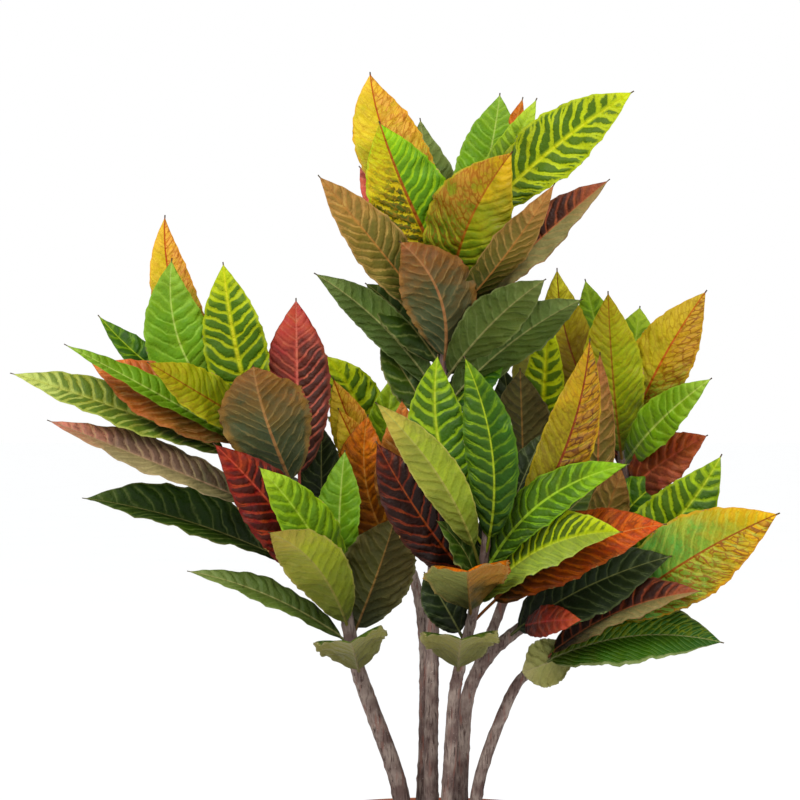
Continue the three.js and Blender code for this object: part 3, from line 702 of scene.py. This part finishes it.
def with_veins(blade, look, colour):
    """Adds the side veins, which are thinner and fainter towards the edge."""
    width = (blade.reach * VEIN_THINNING + 1.0) * look.vein_width + blade.rough * VEIN_RAGGED
    vein = (blade.gap - width).fade(*VEIN_STEP) * look.vein_strength
    vein = vein * blade.by_side(*look.vein_sides)
    vein = vein * blade.unevenly(*VEIN_SHIFT).fade(look.vein_end, look.vein_end - VEIN_FADE)
    vein = vein * blade.mottled(*VEIN_MOTTLE) * blade.reach.fade(*VEIN_RIM)
    return blade.graph.blend(vein, colour, look.vein)


def with_ribs(blade, look, colour):
    """Adds the edge, the midrib and the needle at the tip."""
    graph = blade.graph
    start = 1.0 - look.edge_width * EDGE_INSET
    border = (blade.reach + blade.rough * EDGE_RAGGED).fade(start, start + look.edge_width)
    colour = graph.blend(border * blade.mottled(*EDGE_MOTTLE), colour, look.edge)
    width = (blade.along * MIDRIB_THINNING + 1.0) * look.midrib_width
    width = width + blade.rough * MIDRIB_RAGGED
    rib = (abs(blade.off) - width).fade(*MIDRIB_STEP)
    colour = graph.blend(rib, colour, look.midrib)
    return graph.blend(blade.along.fade(*NEEDLE_STEP), colour, NEEDLE)


@functools.cache
def leaf_material(name, relief):
    """One side of a leaf. Relief is 1 where the veins are sunk and -1 where they stand out."""
    look = LOOKS[name]
    graph = Graph(f"leaf_{name}_{'upper' if relief > 0 else 'lower'}")
    blade = Blade(graph, look)
    colour = ground_colour(blade, look)
    for add in (with_blocks, with_net, with_veins, with_ribs):
        colour = add(blade, look, colour)
    grain = graph.noise(blade.flat, GRAIN_SCALE, detail=4.0, roughness=0.7) - 0.5
    # Brightness: random grain and clouds, and painted shade that darkens each blade towards its
    # stalk, deep in the plant
    tone_and_painted_shade = grain * SHADE_GRAIN + blade.cloud * SHADE_CLOUD
    tone_and_painted_shade = tone_and_painted_shade + blade.along.fade(*PAINTED_SHADE_STEP) * PAINTED_SHADE_LIFT + PAINTED_SHADE_AT_STALK
    hue = blade.chance * HUE_BY_LEAF + blade.patch * HUE_BY_PATCH + HUE
    colour = graph.wire("HueSaturation", "Color", {
        "Hue": hue, "Saturation": SATURATION, "Value": tone_and_painted_shade, "Color": colour})
    quilt = blade.gap.fade(*QUILT_STEP) * relief * blade.reach.fade(*QUILT_RIM)
    relief_height = quilt + blade.rough * QUILT_ROUGH + blade.patch * QUILT_SWELL
    normal = graph.bump(relief_height, QUILT_HEIGHT)
    roughness = graph.noise(blade.flat, SHEEN_SCALE, detail=3.0) * ROUGHNESS_SPREAD + LEAF_ROUGHNESS
    return graph.finish(colour, roughness, normal, LEAF_SPECULAR)


# ---- Meshes ----

def unit(vectors):
    return vectors / np.linalg.norm(vectors, axis=-1, keepdims=True)


def place(across, down, depth):
    """The point, in mm, that the eye sees at a place of the sheet, at a depth behind it."""
    on_sheet = np.array((SHEET_LEFT + across, 0.0, SHEET_TOP - down))
    return on_sheet + (on_sheet - EYE) * (-depth / EYE[1])


def stem_points(path, shares):
    """Points along the smooth curve through a path, at shares from 0 to 1."""
    knots = np.array([place(*knot) for knot in path])
    knots = np.vstack((2 * knots[0] - knots[1], knots, 2 * knots[-1] - knots[-2]))
    spans = len(path) - 1
    run = np.clip(np.asarray(shares, float) * spans, 0, spans - 1e-9)
    first = run.astype(int)
    t = (run - first)[:, None]
    before, start, end, after = (knots[first + step] for step in range(4))
    leave = (end - before) / 2
    arrive = (after - start) / 2
    return (start + leave * t + (3 * (end - start) - 2 * leave - arrive) * t ** 2
            + (2 * (start - end) + leave + arrive) * t ** 3)


def at_height(path, height):
    """The point of a stem at a height, by halving."""
    low, high = 0.0, 1.0
    for _ in range(HALVINGS):
        middle = (low + high) / 2
        if stem_points(path, [middle])[0][2] < height:
            low = middle
        else:
            high = middle
    return stem_points(path, [low])[0]


def outline(along):
    """Half the blade's width, as a share of its widest."""
    inner = np.clip(along / DRIP_TIP, 0, 1)
    return np.clip(np.sin(math.pi * inner ** OUTLINE_SHIFT), 0, 1) ** (
        OUTLINE_POWER + OUTLINE_TAPER * inner)


def piece_of(name, points, faces, materials):
    """A mesh object in metres, from points in mm."""
    mesh = bpy.data.meshes.new(name)
    mesh.from_pydata((np.asarray(points) * MM).tolist(), [], faces)
    for material in materials:
        mesh.materials.append(material)
    mesh.polygons.foreach_set("use_smooth", [True] * len(mesh.polygons))
    piece = bpy.data.objects.new(name, mesh)
    bpy.context.scene.collection.objects.link(piece)
    return piece


def grid_faces(rows, columns, first=0, flip=False, closed=False):
    """Quads over a grid of points that are numbered row by row."""
    faces = []
    for row in range(rows - 1):
        for column in range(columns if closed else columns - 1):
            a = first + row * columns + column
            b = first + row * columns + (column + 1) % columns
            quad = (a, b, b + columns, a + columns)
            faces.append(quad[::-1] if flip else quad)
    return faces


def leaf_rows(table):
    """The numbers and the look of each leaf of a stem."""
    for line in table.strip().splitlines():
        *numbers, look = line.split()
        yield (*map(float, numbers), look)


class Leaf:
    """A leaf's bent midrib and its frame, as in the part."""

    def __init__(self, path, row, index):
        (start, across, down, depth, self.width, turn, fold, self.arch, self.sway,
         self.look) = row
        self.root = at_height(path, SHEET_TOP - start)
        self.chord = place(across, down, depth) - self.root
        self.length = np.linalg.norm(self.chord)
        along = self.chord / self.length
        facing = unit(FRONT - along * along.dot(FRONT))
        aside = np.cross(along, facing)
        roll = math.radians(turn)
        self.upper = facing * math.cos(roll) + aside * math.sin(roll)
        self.side = np.cross(along, self.upper)
        self.stalk = (STALK_LENGTH + max(0, self.length - BLADE_USUAL_LENGTH) / 2) / self.length
        self.phase = (index * GOLDEN) % 1
        self.fold = math.radians(fold)
        self.shows_underside = abs(turn) > 90

    def midrib(self, shares):
        bow = (4 * shares * (1 - shares))[:, None]
        return (self.root + self.chord * shares[:, None]
                + (self.upper * self.arch + self.side * self.sway) * bow)

    def frames(self, shares):
        forward = unit(self.midrib(shares + AHEAD) - self.midrib(shares - AHEAD))
        lift = unit(self.upper - forward * (forward @ self.upper)[:, None])
        return lift, np.cross(forward, lift)

    def sides(self):
        """Which look each side has: upper and lower."""
        if self.look in UNDERSIDES and self.shows_underside:
            return UNDERSIDES[self.look], self.look
        return self.look, BENEATH.get(self.look, USUAL_BENEATH)


def leaf_grid(leaf):
    """The stations along a leaf: their share of it, and their share of the blade."""
    bare = np.linspace(0, leaf.stalk, STALK_STATIONS + 1)[:-1]
    blade = np.linspace(0, 1, BLADE_STATIONS)
    shares = np.concatenate((bare, leaf.stalk + (1 - leaf.stalk) * blade))
    return shares, np.concatenate((np.zeros(STALK_STATIONS), blade))


def leaf_points(leaf):
    """The upper and the lower face's points, and each column's place across, in mm."""
    shares, blade = leaf_grid(leaf)
    lift, out = leaf.frames(shares)
    edge = np.array(COLUMNS)[None, :]
    spread = (outline(blade) * leaf.width / 2)[:, None]
    least = (STALK_HALF_WIDTH + (TIP_HALF_WIDTH - STALK_HALF_WIDTH) * blade)[:, None]
    half = np.maximum(spread, least)
    open_share = np.clip((spread - least) / FOLD_ONSET, 0, 1)
    side_phase = leaf.phase + np.where(edge > 0, EDGE_LAG, 0)
    wave = WAVE_SHARE * spread * np.sin(2 * math.pi * (WAVES * blade[:, None] + side_phase))
    ripple = RIPPLE_SHARE * spread * edge ** 2 * np.sin(
        2 * math.pi * (RIPPLES * blade[:, None] + RIPPLE_PHASE * side_phase))
    belly = BELLY * half * (abs(edge) - edge ** 2)
    rise = (half * (math.sin(leaf.fold) - CUP) + wave) * abs(edge) + belly + ripple
    notch = sum(np.sin(2 * math.pi * (count * blade[:, None] + count * side_phase))
                for count in NOTCHES)
    aside = half * edge * (1 + NOTCH_SHARE * notch * edge ** 2 * open_share)
    bulge = np.sqrt(1 - edge ** 2)
    thick = np.maximum(BLADE_THICKNESS, STALK_THICKNESS * (1 - STALK_THINNING * blade))[:, None] / 2
    near_midrib = np.exp(-(aside / RIDGE_WIDTH) ** 2)
    ridge = RIDGE_HEIGHT * (1 - blade[:, None]) * near_midrib * open_share
    level = (aside * math.cos(leaf.fold))[..., None]
    middle = (leaf.midrib(shares)[:, None] + out[:, None] * level
              + lift[:, None] * (rise * open_share)[..., None])
    above = middle + lift[:, None] * (thick * bulge + ridge * RIDGE_ABOVE)[..., None]
    below = middle - lift[:, None] * (thick * bulge + ridge)[..., None]
    return above, below, aside


# The texture map of a leaf, as shares of its square
MAP_MARGIN = 0.01
MAP_WIDTH = 0.47
LOWER_START = 0.51


def map_leaf(mesh, blade, per_face):
    """Lays the upper side in the left half of the texture and the lower side in the right."""
    rows, columns = len(blade), len(COLUMNS)
    along = np.linspace(MAP_MARGIN, 1 - MAP_MARGIN, rows)
    across = (np.array(COLUMNS) + 1) / 2
    loops = np.empty(len(mesh.loops), int)
    mesh.loops.foreach_get("vertex_index", loops)
    lower = loops >= rows * columns
    spot = loops % (rows * columns)
    u = MAP_MARGIN + MAP_WIDTH * across[spot % columns] + np.where(lower, LOWER_START, 0.0)
    v = along[spot // columns]
    layer = mesh.uv_layers.new(name="OFBake")
    layer.data.foreach_set("uv", np.column_stack((u, v)).ravel().astype(np.float32))
    mesh.uv_layers.active = layer
    slots = np.zeros(len(mesh.polygons), np.int32)
    slots[per_face:] = 1
    mesh.polygons.foreach_set("material_index", slots)


def make_leaf(name, node, leaf, chance):
    shares, blade = leaf_grid(leaf)
    above, below, aside = leaf_points(leaf)
    rows, columns = aside.shape
    points = np.vstack((above.reshape(-1, 3), below.reshape(-1, 3)))
    upper = grid_faces(rows, columns)
    lower = grid_faces(rows, columns, rows * columns, flip=True)
    upper_look, lower_look = leaf.sides()
    materials = [leaf_material(upper_look, 1), leaf_material(lower_look, -1)]
    piece = piece_of(name, points, upper + lower, materials)
    mesh = piece.data
    map_leaf(mesh, blade, len(upper))
    run = np.broadcast_to((blade * (1 - leaf.stalk) * leaf.length)[:, None], aside.shape)
    edge = np.broadcast_to(np.array(COLUMNS)[None, :], aside.shape)
    along = np.broadcast_to(blade[:, None], aside.shape)
    add_vectors(mesh, "leaf_mm", aside, run, chance)
    add_vectors(mesh, "leaf_share", edge, along, 0.0)
    ride(piece, node)


def add_vectors(mesh, name, x, y, z):
    """A vector at each point, the same for the upper and the lower side."""
    one_side = np.stack((x, y, np.broadcast_to(z, x.shape)), axis=-1).reshape(-1, 3)
    values = np.vstack((one_side, one_side)).astype(np.float32)
    mesh.attributes.new(name, "FLOAT_VECTOR", "POINT").data.foreach_set("vector", values.ravel())


def ride(piece, node):
    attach(piece, "root")
    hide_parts(node)


# ---- Stems ----

STEM_SIDES = 14
STEM_STEP = 3.0
STEM_BURIED = 20.0
STEM_POINT = 3.0
# How uneven the bark is, in mm, and the scale of its grain, which is drawn out along Z
BARK_ROUGHNESS = 0.1
BARK_STRETCH = (1.0, 1.0, 0.14)
# The scars that fallen leaves left, in mm: where the first one lies, the space between them, how
# far off it they may lie, how far they reach along the stem, and how far they stand out. The
# last is how much lower they are at their sides, as a share.
SCAR_START = 6.0
SCAR_SPACING = 16.0
SCAR_SHIFT = 4.0
SCAR_LENGTH = 2.6
SCAR_HEIGHT = 0.75
SCAR_SIDED = 0.45


def make_stem(name, node, path, radii, seed):
    rng = np.random.default_rng(seed)
    rough_length = SHEET_TOP - path[-1][1] - SOIL_LEVEL
    rings = int(rough_length / STEM_STEP)
    shares = np.linspace(0, 1, rings)
    middles = stem_points(path, shares)
    forward = unit(np.gradient(middles, axis=0))
    side = unit(np.cross(FRONT, forward))
    front = np.cross(forward, side)
    angle = np.linspace(0, 2 * math.pi, STEM_SIDES, endpoint=False)
    radius = (radii[0] + (radii[1] - radii[0]) * shares)[:, None] * np.ones(STEM_SIDES)
    run = np.concatenate(([0], np.cumsum(np.linalg.norm(np.diff(middles, axis=0), axis=1))))
    for scar in np.arange(SCAR_START, run[-1], SCAR_SPACING):
        where = scar + rng.uniform(-SCAR_SHIFT, SCAR_SHIFT)
        facing = rng.uniform(0, 2 * math.pi)
        swell = np.exp(-((run - where) / SCAR_LENGTH) ** 2)[:, None]
        toward = (1 - SCAR_SIDED * (1 - np.cos(angle - facing)))[None, :]
        radius += SCAR_HEIGHT * swell * toward
    radius += rng.normal(0, BARK_ROUGHNESS, radius.shape)
    ring = (side[:, None] * np.cos(angle)[None, :, None]
            + front[:, None] * np.sin(angle)[None, :, None])
    points = middles[:, None] + ring * radius[..., None]
    root = points[0] - UP * STEM_BURIED
    ends = (middles[-1:] + forward[-1:] * STEM_POINT, middles[:1] - UP * STEM_BURIED)
    points = np.vstack((root, points.reshape(-1, 3), *ends))
    faces = grid_faces(rings + 1, STEM_SIDES, closed=True)
    top = len(points) - 2
    last = rings * STEM_SIDES
    for corner in range(STEM_SIDES):
        after = (corner + 1) % STEM_SIDES
        faces.append((last + corner, last + after, top))
        faces.append((after, corner, top + 1))
    ride(piece_of(name, points, faces, [bark_material()]), node)


@functools.cache
def bark_material():
    graph = Graph("bark")
    spot = graph.place()
    grain = graph.wire("Mapping", "Vector", {"Vector": spot, "Scale": BARK_STRETCH})
    coarse = graph.noise(spot, scale=45.0, detail=3.0)
    fine = graph.noise(grain, scale=460.0, detail=5.0, roughness=0.6)
    colour = graph.blend(coarse.fade(0.35, 0.65), "#64504a", "#94847a")
    colour = graph.blend(fine.fade(0.45, 0.7), colour, "#42302c")
    streaks = graph.noise(grain, scale=210.0, detail=3.0).fade(0.55, 0.68) * 0.6
    colour = graph.blend(streaks, colour, "#7c4c40")
    spots = graph.noise(spot, scale=700.0, detail=2.0).fade(0.68, 0.74)
    colour = graph.blend(spots, colour, "#a99c92")
    normal = graph.bump(fine, 0.0012)
    return graph.finish(colour, fine * 0.2 + 0.7, normal, 0.25)


# ---- Pot and soil ----

ROUND_STEPS = 128
CRUMBS = 700
CRUMB_SEED = 11
CRUMB_SIZES = (1.0, 3.4)
# Shares of a crumb's size, for all of it, for each of its directions and for each corner
CRUMB_SHRINK = (0.6, 1.0)
CRUMB_STRETCH = (0.75, 1.25)
CRUMB_DENTS = (0.82, 1.18)
CRUMB_SINK = 0.25
LUMP_HEIGHT = 0.9
CLEAR_OF_WALL = 4.0
ARC_RADIUS = 3.0
ARC_STEPS = 4
# The most of a straight side that an arc may take
ARC_SHARE = 0.45
SECTION_STEP = 6.0
AXIS_RADIUS = 1.0
SOIL_RINGS = 42


def turned(name, section, materials):
    """A closed solid of revolution about Z, from points of its half section."""
    angle = np.linspace(0, 2 * math.pi, ROUND_STEPS, endpoint=False)
    section = np.array(section, float)
    rings = np.stack((section[:, 0, None] * np.cos(angle), section[:, 0, None] * np.sin(angle),
                      np.broadcast_to(section[:, 1, None], (len(section), ROUND_STEPS))), axis=-1)
    points = rings.reshape(-1, 3)
    faces = grid_faces(len(section), ROUND_STEPS, closed=True)
    faces.append(tuple(range(ROUND_STEPS))[::-1])
    faces.append(tuple(range(len(points) - ROUND_STEPS, len(points))))
    return piece_of(name, points, faces, materials)


def pot_radius(height):
    return POT_BASE_RADIUS + (POT_TOP_RADIUS - POT_BASE_RADIUS) * height / POT_HEIGHT


def rounded(corners, radius):
    """A section's corners, each cut to an arc of about the given radius."""
    points = [corners[0]]
    for before, corner, after in zip(corners, corners[1:], corners[2:]):
        before, corner, after = (np.array(p, float) for p in (before, corner, after))
        back = before - corner
        ahead = after - corner
        longest = ARC_SHARE * min(np.linalg.norm(back), np.linalg.norm(ahead))
        cut = min(radius, longest)
        start = corner + unit(back) * cut
        end = corner + unit(ahead) * cut
        for t in np.linspace(0, 1, ARC_STEPS + 1):
            points.append(tuple(start * (1 - t) ** 2 + 2 * corner * t * (1 - t) + end * t * t))
    points.append(corners[-1])
    return points


def filled(points, step):
    """The same line with points added so that none are further apart than a step."""
    out = [np.array(points[0], float)]
    for point in points[1:]:
        point = np.array(point, float)
        count = max(1, int(np.ceil(np.linalg.norm(point - out[-1]) / step)))
        start = out[-1]
        for part in range(1, count + 1):
            out.append(start + (point - start) * part / count)
    return out


def make_pot():
    foot = POT_HEIGHT - POT_RIM_HEIGHT
    corners = [
        (AXIS_RADIUS, 0), (POT_BASE_RADIUS - 1, 0), (POT_BASE_RADIUS + 0.5, 3),
        (pot_radius(foot), foot), (pot_radius(foot) + POT_RIM_OUT - 1, foot + 1),
        (POT_TOP_RADIUS + POT_RIM_OUT, POT_HEIGHT), (POT_TOP_RADIUS - POT_WALL, POT_HEIGHT),
        (pot_radius(POT_WALL) - POT_WALL, POT_WALL), (AXIS_RADIUS, POT_WALL)]
    section = filled(rounded(corners, ARC_RADIUS), SECTION_STEP)
    ride(turned("pot_clay", section, [clay_material()]), "pot")


def clay_material():
    graph = Graph("clay")
    spot = graph.place()
    _, _, z = graph.parts(spot)
    cloud = graph.noise(spot, scale=9.0, detail=4.0, roughness=0.6)
    grain = graph.noise(spot, scale=900.0, detail=3.0, roughness=0.7)
    colour = graph.blend(cloud.fade(0.35, 0.7), "#a8573a", "#bd7150")
    bloom = (graph.noise(spot, scale=26.0, detail=5.0, roughness=0.7) + z * -1.1).fade(0.46, 0.62)
    colour = graph.blend(bloom * 0.35, colour, "#cfae98")
    colour = graph.blend(grain.fade(0.62, 0.72) * 0.5, colour, "#7c3d28")
    rings = (z * 1400.0 + cloud * 5.0).math("SINE") * 0.12
    normal = graph.bump(grain * 0.5 + rings + cloud * 0.6, 0.0009)
    return graph.finish(colour, grain * 0.15 + 0.78, normal, 0.3)


def soil_material():
    graph = Graph("potting_soil")
    spot = graph.place()
    crumbs = graph.noise(spot, scale=260.0, detail=6.0, roughness=0.7)
    damp = graph.noise(spot, scale=30.0, detail=3.0)
    colour = graph.blend(crumbs.fade(0.35, 0.7), "#1c120c", "#4a3424")
    colour = graph.blend(damp.fade(0.4, 0.7) * 0.5, colour, "#2a1c13")
    fibres = graph.noise(spot, scale=900.0, detail=2.0).fade(0.68, 0.74)
    colour = graph.blend(fibres, colour, "#7c6248")
    return graph.finish(colour, crumbs * 0.15 + 0.82, graph.bump(crumbs, 0.003), 0.2)


def soil_height(x, y):
    radius = np.hypot(x, y) / (pot_radius(SOIL_LEVEL) - POT_WALL)
    lumps = (np.sin(x * 0.31 + 1.3 * np.sin(y * 0.17)) * np.sin(y * 0.27 + 0.9 * np.sin(x * 0.23))
             + 0.5 * np.sin(x * 0.71 + y * 0.53) * np.sin(y * 0.83 - x * 0.37))
    return SOIL_LEVEL + SOIL_CROWN * (1 - radius ** 2) + LUMP_HEIGHT * lumps * (1 - radius ** 6)


def make_soil():
    wall = POT_WALL + SOIL_GAP
    radii = np.linspace(AXIS_RADIUS, pot_radius(SOIL_LEVEL) - wall, SOIL_RINGS)
    bottom = [(AXIS_RADIUS, wall), (pot_radius(wall) - wall, wall)]
    section = bottom + [(radius, SOIL_LEVEL) for radius in radii[::-1]]
    material = soil_material()
    piece = turned("soil_body", section, [material])
    mesh = piece.data
    places = np.empty(len(mesh.vertices) * 3, np.float32)
    mesh.vertices.foreach_get("co", places)
    places = places.reshape(-1, 3) / MM
    top = places[:, 2] > SOIL_LEVEL - 1
    places[top, 2] = soil_height(places[top, 0], places[top, 1])
    mesh.vertices.foreach_set("co", (places * MM).ravel())
    ride(piece, "soil")
    ride(make_crumbs(material), "soil")


def make_crumbs(material):
    """Loose lumps that lie half sunk in the soil's surface."""
    rng = np.random.default_rng(CRUMB_SEED)
    ball = crumb_shape()
    points, faces = [], []
    reach = pot_radius(SOIL_LEVEL) - POT_WALL - CLEAR_OF_WALL
    for _ in range(CRUMBS):
        distance = reach * math.sqrt(rng.uniform())
        bearing = rng.uniform(0, 2 * math.pi)
        x, y = distance * math.cos(bearing), distance * math.sin(bearing)
        size = rng.uniform(*CRUMB_SIZES) * rng.uniform(*CRUMB_SHRINK)
        lump = ball[0] * (size * rng.uniform(*CRUMB_STRETCH, (1, 3)))
        lump = lump * rng.uniform(*CRUMB_DENTS, (len(lump), 1))
        middle = np.array((x, y, soil_height(x, y) + size * CRUMB_SINK))
        faces += [tuple(corner + len(points) * len(lump) for corner in face) for face in ball[1]]
        points.append(lump + middle)
    return piece_of("soil_crumbs", np.vstack(points), faces, [material])


def crumb_shape():
    """The corners and the faces of a round lump of 20 faces."""
    g = (1 + math.sqrt(5)) / 2
    corners = np.array([(-1, g, 0), (1, g, 0), (-1, -g, 0), (1, -g, 0), (0, -1, g), (0, 1, g),
                        (0, -1, -g), (0, 1, -g), (g, 0, -1), (g, 0, 1), (-g, 0, -1), (-g, 0, 1)])
    faces = [(0, 11, 5), (0, 5, 1), (0, 1, 7), (0, 7, 10), (0, 10, 11), (1, 5, 9), (5, 11, 4),
             (11, 10, 2), (10, 7, 6), (7, 1, 8), (3, 9, 4), (3, 4, 2), (3, 2, 6), (3, 6, 8),
             (3, 8, 9), (4, 9, 5), (2, 4, 11), (6, 2, 10), (8, 6, 7), (9, 8, 1)]
    return corners / np.linalg.norm(corners[0]), faces


# ---- Camera, light and floor ----

CAMERA_LENS = 135.0
CAMERA_SENSOR = 36.0
# In metres
FLOOR_RADIUS = 40.0
FLOOR_SIDES = 64
SUN_STRENGTH = 2.7
SUN_ANGLE = 35.0
SUN_SPOT = (-1.6, -2.2, 3.4)
BOX_WATTS = 22
BOX_SIZE = 1.4
BOX_SPOT = (1.2, -1.8, 1.9)
LIT_SPOT = (0, 0, 0.6)
SKY_STRENGTH = 0.46
SKY_COLOUR = (0.97, 0.985, 1.0, 1.0)
SEEN_COLOUR = (1.0, 1.0, 1.0, 1.0)


def make_camera():
    data = bpy.data.cameras.new("camera")
    data.sensor_width = CAMERA_SENSOR
    data.lens = CAMERA_LENS
    camera = bpy.data.objects.new("camera", data)
    camera.location = EYE * MM
    camera.rotation_euler = (math.radians(90), 0, 0)
    bpy.context.scene.collection.objects.link(camera)
    bpy.context.scene.camera = camera


def aim(lamp, spot, target):
    lamp.location = spot
    direction = Vector(target) - Vector(spot)
    lamp.rotation_euler = direction.to_track_quat("-Z", "Y").to_euler()


def hang(light, spot):
    lamp = bpy.data.objects.new(light.name, light)
    aim(lamp, spot, LIT_SPOT)
    bpy.context.scene.collection.objects.link(lamp)


def make_lights():
    sun = bpy.data.lights.new("sky_light", "SUN")
    sun.energy = SUN_STRENGTH
    sun.angle = math.radians(SUN_ANGLE)
    hang(sun, SUN_SPOT)
    soft = bpy.data.lights.new("soft_box", "AREA")
    soft.energy = BOX_WATTS
    soft.size = BOX_SIZE
    hang(soft, BOX_SPOT)


def make_world():
    """A soft sky, seen as plain white where nothing stands before it."""
    world = bpy.data.worlds.new("studio")
    world.use_nodes = True
    tree = world.node_tree
    light = tree.nodes["Background"]
    light.inputs["Color"].default_value = SKY_COLOUR
    light.inputs["Strength"].default_value = SKY_STRENGTH
    seen = tree.nodes.new("ShaderNodeBackground")
    seen.inputs["Color"].default_value = SEEN_COLOUR
    paths = tree.nodes.new("ShaderNodeLightPath")
    mix = tree.nodes.new("ShaderNodeMixShader")
    tree.links.new(paths.outputs["Is Camera Ray"], mix.inputs[0])
    tree.links.new(light.outputs[0], mix.inputs[1])
    tree.links.new(seen.outputs[0], mix.inputs[2])
    tree.links.new(mix.outputs[0], tree.nodes["World Output"].inputs["Surface"])
    bpy.context.scene.world = world
    bpy.context.scene.view_settings.view_transform = "Standard"


def make_floor():
    angle = np.linspace(0, 2 * math.pi, FLOOR_SIDES, endpoint=False)
    radius = FLOOR_RADIUS / MM
    points = np.column_stack((radius * np.cos(angle), radius * np.sin(angle), 0 * angle))
    graph = Graph("studio_floor")
    cloud = graph.noise(graph.place(), scale=3.0, detail=2.0)
    colour = graph.blend(cloud, "#fbfbfa", "#fdfdfd")
    material = graph.finish(colour, cloud * 0.1 + 0.7, graph.bump(cloud, 0.0005), 0.2)
    floor = piece_of("studio_floor", points, [tuple(range(FLOOR_SIDES))], [material])


# ---- The scene ----

make_camera()
make_lights()
make_world()
make_floor()
make_pot()
make_soil()
for number, (node, stem) in enumerate(STEMS.items()):
    label = node.removeprefix("stem_")
    make_stem(f"bark_{label}", node, stem["path"], stem["radii"], number)
    for index, row in enumerate(leaf_rows(stem["leaves"])):
        chance = (number * STEM_CHANCE + index * GOLDEN) % 1
        make_leaf(f"leaf_{label}_{index:02d}", node, Leaf(stem["path"], row, index), chance)
